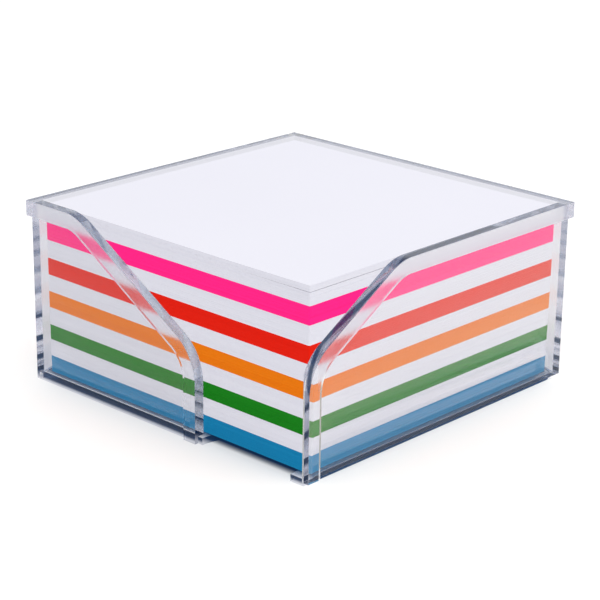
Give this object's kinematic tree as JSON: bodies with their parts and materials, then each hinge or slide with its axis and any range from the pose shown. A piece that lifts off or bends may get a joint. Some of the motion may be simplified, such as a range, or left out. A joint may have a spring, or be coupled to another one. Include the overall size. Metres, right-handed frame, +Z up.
{
  "type": "memo paper holder",
  "caption": "Clear plastic desk tray with a cut-away corner holding a half cube of loose memo paper in coloured layers",
  "frame": {"origin": "on the table, under the middle of the holder", "axes": "+Z up, the front wall faces -Y and stops short, the low right wall faces +X"},
  "size_m": [0.098, 0.098, 0.048],
  "materials": {
    "clear_plastic": "clear injection-moulded polystyrene, polished",
    "white_paper": "uncoated white memo paper, cut edges",
    "blue_paper": "uncoated dyed memo paper, cut edges",
    "green_paper": "uncoated dyed memo paper, cut edges",
    "orange_paper": "uncoated dyed memo paper, cut edges",
    "red_paper": "uncoated dyed memo paper, cut edges",
    "pink_paper": "uncoated dyed memo paper, cut edges"
  },
  "bodies": {
    "holder": {"holder": "clear_plastic"},
    "blue_sheets": {"blue_sheets": "blue_paper"},
    "white_sheets_over_blue": {"white_sheets_over_blue": "white_paper"},
    "green_sheets": {"green_sheets": "green_paper"},
    "white_sheets_over_green": {"white_sheets_over_green": "white_paper"},
    "orange_sheets": {"orange_sheets": "orange_paper"},
    "white_sheets_over_orange": {"white_sheets_over_orange": "white_paper"},
    "red_sheets": {"red_sheets": "red_paper"},
    "white_sheets_over_red": {"white_sheets_over_red": "white_paper"},
    "pink_sheets": {"pink_sheets": "pink_paper"},
    "white_sheets_over_pink": {"white_sheets_over_pink": "white_paper"},
    "loose_top_sheets": {"loose_top_sheets": "white_paper"}
  },
  "joints": [
    {"name": "lift_blue_sheets", "type": "slide", "parent": "holder", "child": "blue_sheets", "axis": [0, 0, 1], "range_m": [0, 0.0482]},
    {"name": "lift_white_sheets_over_blue", "type": "slide", "parent": "blue_sheets", "child": "white_sheets_over_blue", "axis": [0, 0, 1], "range_m": [0, 0.0437]},
    {"name": "lift_green_sheets", "type": "slide", "parent": "white_sheets_over_blue", "child": "green_sheets", "axis": [0, 0, 1], "range_m": [0, 0.0392]},
    {"name": "lift_white_sheets_over_green", "type": "slide", "parent": "green_sheets", "child": "white_sheets_over_green", "axis": [0, 0, 1], "range_m": [0, 0.0351]},
    {"name": "lift_orange_sheets", "type": "slide", "parent": "white_sheets_over_green", "child": "orange_sheets", "axis": [0, 0, 1], "range_m": [0, 0.0304]},
    {"name": "lift_white_sheets_over_orange", "type": "slide", "parent": "orange_sheets", "child": "white_sheets_over_orange", "axis": [0, 0, 1], "range_m": [0, 0.026]},
    {"name": "lift_red_sheets", "type": "slide", "parent": "white_sheets_over_orange", "child": "red_sheets", "axis": [0, 0, 1], "range_m": [0, 0.0215]},
    {"name": "lift_white_sheets_over_red", "type": "slide", "parent": "red_sheets", "child": "white_sheets_over_red", "axis": [0, 0, 1], "range_m": [0, 0.017]},
    {"name": "lift_pink_sheets", "type": "slide", "parent": "white_sheets_over_red", "child": "pink_sheets", "axis": [0, 0, 1], "range_m": [0, 0.0122]},
    {"name": "lift_white_sheets_over_pink", "type": "slide", "parent": "pink_sheets", "child": "white_sheets_over_pink", "axis": [0, 0, 1], "range_m": [0, 0.0076]},
    {"name": "lift_loose_top_sheets", "type": "slide", "parent": "white_sheets_over_pink", "child": "loose_top_sheets", "axis": [0, 0, 1], "range_m": [0, 0.0044]}
  ]
}
